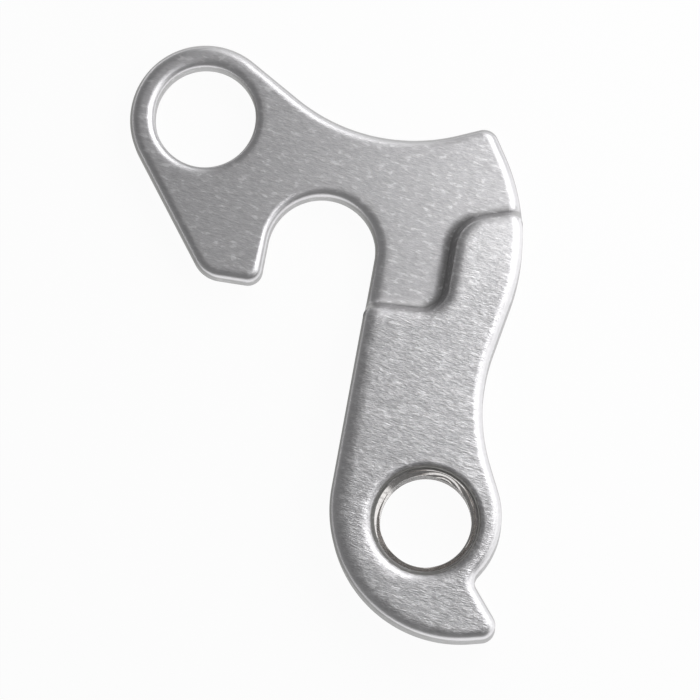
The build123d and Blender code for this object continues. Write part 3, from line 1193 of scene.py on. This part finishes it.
class HangerFinish(PropertyGroup):
    """Colours and textures of the metal."""

    metal_colour: FloatVectorProperty(
        name="Forged colour",
        description="Colour of the forged and tumbled aluminium",
        default=linear_colour("F7F6F8"),
        subtype="COLOR",
    )
    roughness: FloatProperty(
        name="Forged roughness",
        description="Roughness of the tumbled skin",
        default=0.38,
        subtype="FACTOR",
    )
    valley_colour: FloatVectorProperty(
        name="Valley colour",
        description="Colour of the duller metal in the valleys of the wrinkles",
        default=linear_colour("CBCACC"),
        subtype="COLOR",
    )
    # Painted shade: the darker colour that steep walls are painted with, for the shade that falls on them
    wall_shade_colour: FloatVectorProperty(
        name="Wall colour",
        description="Colour of the metal on steep walls",
        default=linear_colour("8E8E8C"),
        subtype="COLOR",
    )
    wall_roughness: FloatProperty(
        name="Wall roughness",
        description="Roughness of steep walls",
        default=0.5,
        subtype="FACTOR",
    )
    wrinkle_length: FloatProperty(
        name="Wrinkle length",
        description="Usual length of a forging wrinkle",
        default=0.5 * MM,
        unit="LENGTH",
    )
    wrinkle_width: FloatProperty(
        name="Wrinkle width",
        description="Usual width of a forging wrinkle",
        default=0.12 * MM,
        unit="LENGTH",
    )
    wrinkle_tilt: FloatProperty(
        name="Wrinkle tilt",
        description="Angle of the wrinkles from the direction to the rear",
        default=radians(-15),
        subtype="ANGLE",
    )
    wrinkle_depth: FloatProperty(
        name="Wrinkle depth",
        description="Depth of the forging wrinkles on the arm",
        default=0.037 * MM,
        unit="LENGTH",
    )
    plate_wrinkles: FloatProperty(
        name="Plate wrinkles",
        description="Depth of the wrinkles on the plate as a share of that on the arm",
        default=0.45,
        subtype="FACTOR",
    )
    top_wrinkles: FloatProperty(
        name="Top wrinkles",
        description="Depth of the wrinkles at the arm's top as a share of that on the rest of the arm",
        default=0.5,
        subtype="FACTOR",
    )
    rub_length: FloatProperty(
        name="Rub length",
        description="Distance along the wrinkles from one rubbed fleck to the next",
        default=1.1 * MM,
        unit="LENGTH",
    )
    rub_width: FloatProperty(
        name="Rub width",
        description="Distance across the wrinkles from one rubbed fleck to the next",
        default=0.45 * MM,
        unit="LENGTH",
    )
    cut_colour: FloatVectorProperty(
        name="Cut colour",
        description="Colour of the freshly cut aluminium of the thread",
        default=linear_colour("DFDCDA"),
        subtype="COLOR",
    )
    cut_roughness: FloatProperty(
        name="Cut roughness",
        description="Roughness of the cut thread",
        default=0.16,
        subtype="FACTOR",
    )
    chatter_colour: FloatVectorProperty(
        name="Chatter colour",
        description="Colour of the marks where the tap smeared the metal",
        default=linear_colour("CDCAC8"),
        subtype="COLOR",
    )
    chatter_roughness: FloatProperty(
        name="Chatter roughness",
        description="Roughness of the marks where the tap smeared the metal",
        default=0.26,
        subtype="FACTOR",
    )
    chatter_width: FloatProperty(
        name="Chatter width",
        description="Distance around the thread from one chatter mark to the next",
        default=0.3 * MM,
        unit="LENGTH",
    )
    chatter_height: FloatProperty(
        name="Chatter height",
        description="Distance along the thread from one chatter mark to the next",
        default=0.8 * MM,
        unit="LENGTH",
    )


class HangerStage(PropertyGroup):
    """Floor, light and camera."""

    floor_colour: FloatVectorProperty(
        name="Floor colour",
        description="Colour of the pale matt floor",
        default=linear_colour("F2F2F2"),
        subtype="COLOR",
    )
    floor_glow: FloatProperty(
        name="Floor white",
        description="Share of plain white in what the camera sees of the floor",
        default=0.955,
        subtype="FACTOR",
    )
    floor_size: FloatProperty(
        name="Floor size",
        description="Side of the square floor",
        default=4.0,
        unit="LENGTH",
    )
    room_colour: FloatVectorProperty(
        name="Room colour",
        description="Grey of the room round the object",
        default=linear_colour("777777"),
        subtype="COLOR",
    )
    camera_distance: FloatProperty(
        name="Camera distance",
        description="Distance of the camera from the part",
        default=0.62,
        unit="LENGTH",
    )
    camera_field: FloatProperty(
        name="Camera field",
        description="Width that the camera sees at the part",
        default=68.95 * MM,
        unit="LENGTH",
    )
    camera_lean: FloatProperty(
        name="Camera lean",
        description="Angle of the camera from straight above, towards the foot of the arm",
        default=radians(6.5),
        subtype="ANGLE",
    )
    camera_side: FloatProperty(
        name="Camera side lean",
        description="Angle of the camera from straight above, towards the rear edge",
        default=radians(1.0),
        subtype="ANGLE",
    )


class HANGER_OT_forging(Operator):
    """Builds the forged hanger with its cut thread in place of the plain solid."""

    bl_idname = "hanger.forging"
    bl_label = "Forged hanger"

    def execute(self, context):
        sizes = context.scene.hanger_sizes
        finish = context.scene.hanger_finish
        points, triangles, kinds = hanger_surface(sizes)
        forged = forged_aluminium(finish)
        cut = cut_aluminium(finish)
        piece = add_piece("hanger_forging", points, triangles, kinds, forged, cut)
        weighted = piece.modifiers.new("face_normals", "WEIGHTED_NORMAL")
        weighted.keep_sharp = True
        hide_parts("hanger")
        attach(piece, "root")
        return {"FINISHED"}


def add_softbox(box):
    """Rectangular soft light at its place, facing its target; its power is pi times area times radiance."""
    lamp = bpy.data.lights.new(box.name, "AREA")
    lamp.shape = "RECTANGLE"
    lamp.size = box.width
    lamp.size_y = box.depth
    lamp.energy = pi * box.width * box.depth * box.radiance
    holder = bpy.data.objects.new(box.name, lamp)
    holder.location = box.place
    holder.rotation_euler = (Vector(box.target) - Vector(box.place)).to_track_quat("-Z", "Y").to_euler()
    holder.visible_camera = False
    bpy.context.scene.collection.objects.link(holder)


class HANGER_OT_stage(Operator):
    """Sets the floor, the soft lights and the camera of the photograph's view."""

    bl_idname = "hanger.stage"
    bl_label = "Stage"

    def execute(self, context):
        stage = context.scene.hanger_stage
        half = stage.floor_size / 2
        corners = [(-half, -half, 0.0), (half, -half, 0.0), (half, half, 0.0), (-half, half, 0.0)]
        mesh = bpy.data.meshes.new("floor")
        mesh.from_pydata(corners, [], [(0, 1, 2, 3)])
        mesh.materials.append(white_floor(stage))
        floor = bpy.data.objects.new("floor", mesh)
        context.scene.collection.objects.link(floor)
        context.scene.world = studio_world(stage)

        for box in SOFTBOXES:
            add_softbox(box)

        turn = Euler((stage.camera_lean, stage.camera_side, 0.0))
        back = turn.to_matrix() @ Vector((0.0, 0.0, stage.camera_distance))
        camera = bpy.data.cameras.new("camera")
        camera.sensor_width = SENSOR_WIDTH
        camera.lens = SENSOR_WIDTH * stage.camera_distance / stage.camera_field
        camera.clip_start = CLIP_START
        holder = bpy.data.objects.new("camera", camera)
        holder.location = Vector(CAMERA_AIM) * MM + back
        holder.rotation_euler = turn
        context.scene.collection.objects.link(holder)
        context.scene.camera = holder
        context.scene.view_settings.view_transform = "Standard"
        return {"FINISHED"}


class HANGER_PT_panel(Panel):
    """Lists the hanger's operators and settings."""

    bl_label = "Derailleur hanger"
    bl_idname = "HANGER_PT_panel"
    bl_space_type = "VIEW_3D"
    bl_region_type = "UI"
    bl_category = "Hanger"

    def draw(self, context):
        for operator, group in (
            ("hanger.forging", context.scene.hanger_sizes),
            (None, context.scene.hanger_finish),
            ("hanger.stage", context.scene.hanger_stage),
        ):
            if operator:
                self.layout.operator(operator)
            for name in group.__annotations__:
                self.layout.prop(group, name)


CLASSES = (HangerSizes, HangerFinish, HangerStage, HANGER_OT_forging, HANGER_OT_stage, HANGER_PT_panel)


def register():
    """Registers the classes and gives each scene the three groups of settings."""
    for made in CLASSES:
        bpy.utils.register_class(made)
    bpy.types.Scene.hanger_sizes = PointerProperty(type=HangerSizes)
    bpy.types.Scene.hanger_finish = PointerProperty(type=HangerFinish)
    bpy.types.Scene.hanger_stage = PointerProperty(type=HangerStage)


def unregister():
    """Takes the settings and the classes away again, in the opposite order."""
    del bpy.types.Scene.hanger_stage
    del bpy.types.Scene.hanger_finish
    del bpy.types.Scene.hanger_sizes
    for made in reversed(CLASSES):
        bpy.utils.unregister_class(made)


def main():
    """Builds the hanger and its stage."""
    register()
    bpy.ops.hanger.forging()
    bpy.ops.hanger.stage()


if __name__ == "__main__":
    main()
